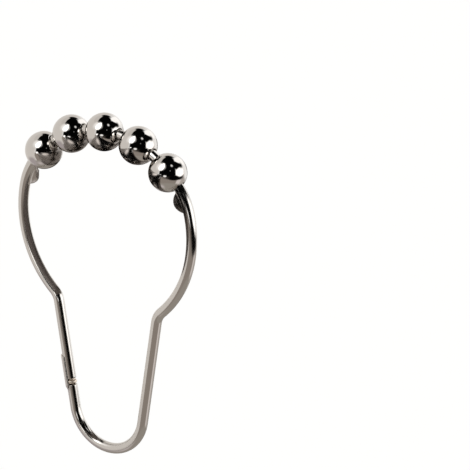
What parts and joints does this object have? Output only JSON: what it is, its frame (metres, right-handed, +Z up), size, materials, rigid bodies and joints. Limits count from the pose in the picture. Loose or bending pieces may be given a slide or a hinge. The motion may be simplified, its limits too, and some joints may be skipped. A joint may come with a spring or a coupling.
{
  "type": "shower curtain hook",
  "caption": "Bent-wire shower curtain hook with roller beads that run on the rod, and a spring latch that closes the wire loop.",
  "frame": {"origin": "the seat: the point under the middle bead that rests on top of the rod", "axes": "+Z up, as it hangs; Y along the rod, square to the plane of the hook; +X towards the plain front leg, away from the latch"},
  "size_m": [0.0458, 0.008, 0.0746],
  "materials": {
    "wire_nickel": "polished nickel plate on drawn wire",
    "bead_nickel": "bright polished nickel plate"
  },
  "bodies": {
    "wire": {"hook_wire": "wire_nickel"},
    "bead_1": {"roller_bead_1": "bead_nickel"},
    "bead_2": {"roller_bead_2": "bead_nickel"},
    "bead_3": {"roller_bead_3": "bead_nickel"},
    "bead_4": {"roller_bead_4": "bead_nickel"},
    "bead_5": {"roller_bead_5": "bead_nickel"}
  },
  "joints": [
    {"name": "bead_1_spin", "type": "hinge", "parent": "wire", "child": "bead_1", "pos_m": [0.01592, 0, -0.00224], "axis": [0.7336, 0, -0.6796], "continuous": true},
    {"name": "bead_2_spin", "type": "hinge", "parent": "wire", "child": "bead_2", "pos_m": [0.00855, 0, 0.00238], "axis": [0.931, 0, -0.365], "continuous": true},
    {"name": "bead_3_spin", "type": "hinge", "parent": "wire", "child": "bead_3", "pos_m": [0, 0, 0.004], "axis": [1, 0, 0], "continuous": true},
    {"name": "bead_4_spin", "type": "hinge", "parent": "wire", "child": "bead_4", "pos_m": [-0.00855, 0, 0.00238], "axis": [0.931, 0, 0.365], "continuous": true},
    {"name": "bead_5_spin", "type": "hinge", "parent": "wire", "child": "bead_5", "pos_m": [-0.01592, 0, -0.00224], "axis": [0.7336, 0, 0.6796], "continuous": true}
  ]
}
